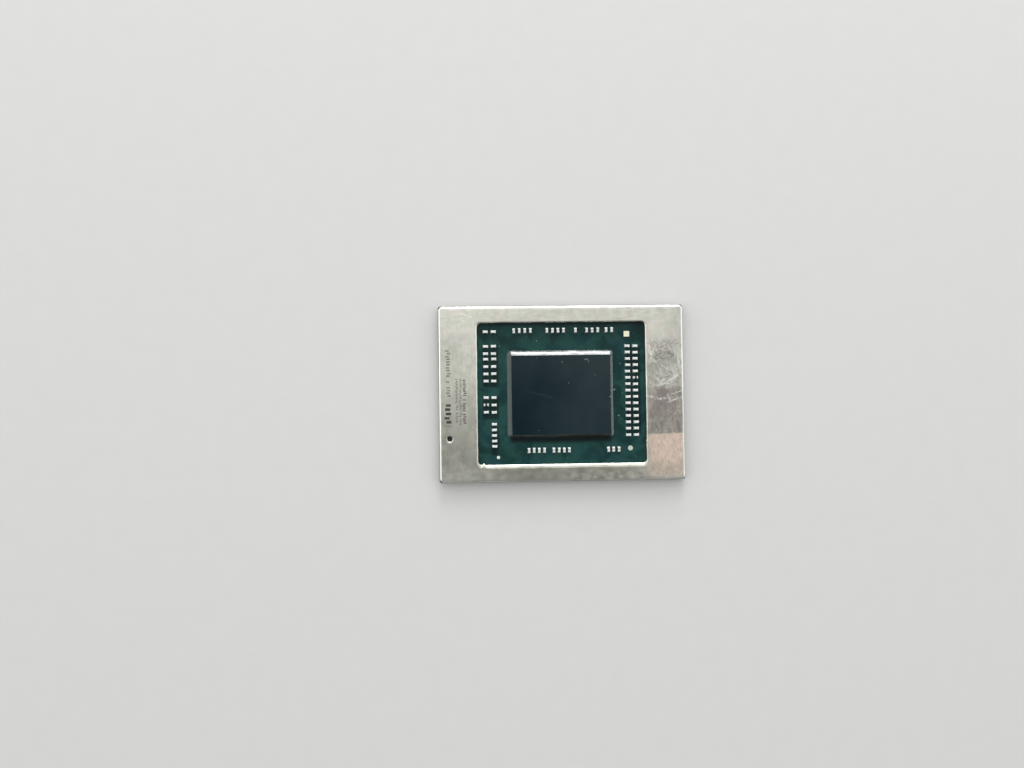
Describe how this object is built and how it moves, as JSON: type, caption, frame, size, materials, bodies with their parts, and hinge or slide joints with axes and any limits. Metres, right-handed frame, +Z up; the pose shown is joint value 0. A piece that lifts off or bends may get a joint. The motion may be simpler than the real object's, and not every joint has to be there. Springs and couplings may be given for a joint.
{
  "type": "bga chip",
  "caption": "Lidless flip-chip ball grid array package: bare die on a green substrate inside a metal stiffener ring, with chip capacitors around the die and solder balls underneath.",
  "frame": {"origin": "centre of the package, on the plane that the solder balls stand on", "axes": "+X to the right along the long side, +Y to the back, +Z up through the die; the index hole is at the front left"},
  "size_m": [0.035, 0.025, 0.0014],
  "materials": {
    "solder_mask": "satin dark green solder mask",
    "gold": "matt gold plate",
    "bare_copper": "dull plated copper",
    "adhesive": "dark grey cured adhesive",
    "ring_metal": "satin nickel plate with stains and fine scratches",
    "silicon": "mirror-polished dark blue-black silicon",
    "underfill": "glossy dark resin",
    "ceramic": "fired tan ceramic",
    "tin": "bright tin plate",
    "solder": "bright solder"
  },
  "bodies": {
    "root": {"substrate": "solder_mask", "gold_corner_pad": "gold", "round_fiducial": "bare_copper", "small_fiducial": "bare_copper", "ring_adhesive": "adhesive", "stiffener_ring": "ring_metal", "die": "silicon", "die_bumps": "solder", "underfill": "underfill", "left_capacitor_bodies": "ceramic", "left_capacitor_terminals": "tin", "left_capacitor_solder": "solder", "back_capacitor_bodies": "ceramic", "back_capacitor_terminals": "tin", "back_capacitor_solder": "solder", "right_capacitor_bodies": "ceramic", "right_capacitor_terminals": "tin", "right_capacitor_solder": "solder", "front_capacitor_bodies": "ceramic", "front_capacitor_terminals": "tin", "front_capacitor_solder": "solder", "corner_balls": "solder", "front_left_balls": "solder", "front_middle_balls": "solder", "front_right_balls": "solder", "middle_left_balls": "solder", "centre_balls": "solder", "middle_right_balls": "solder", "back_left_balls": "solder", "back_middle_balls": "solder", "back_right_balls": "solder"}
  },
  "joints": []
}
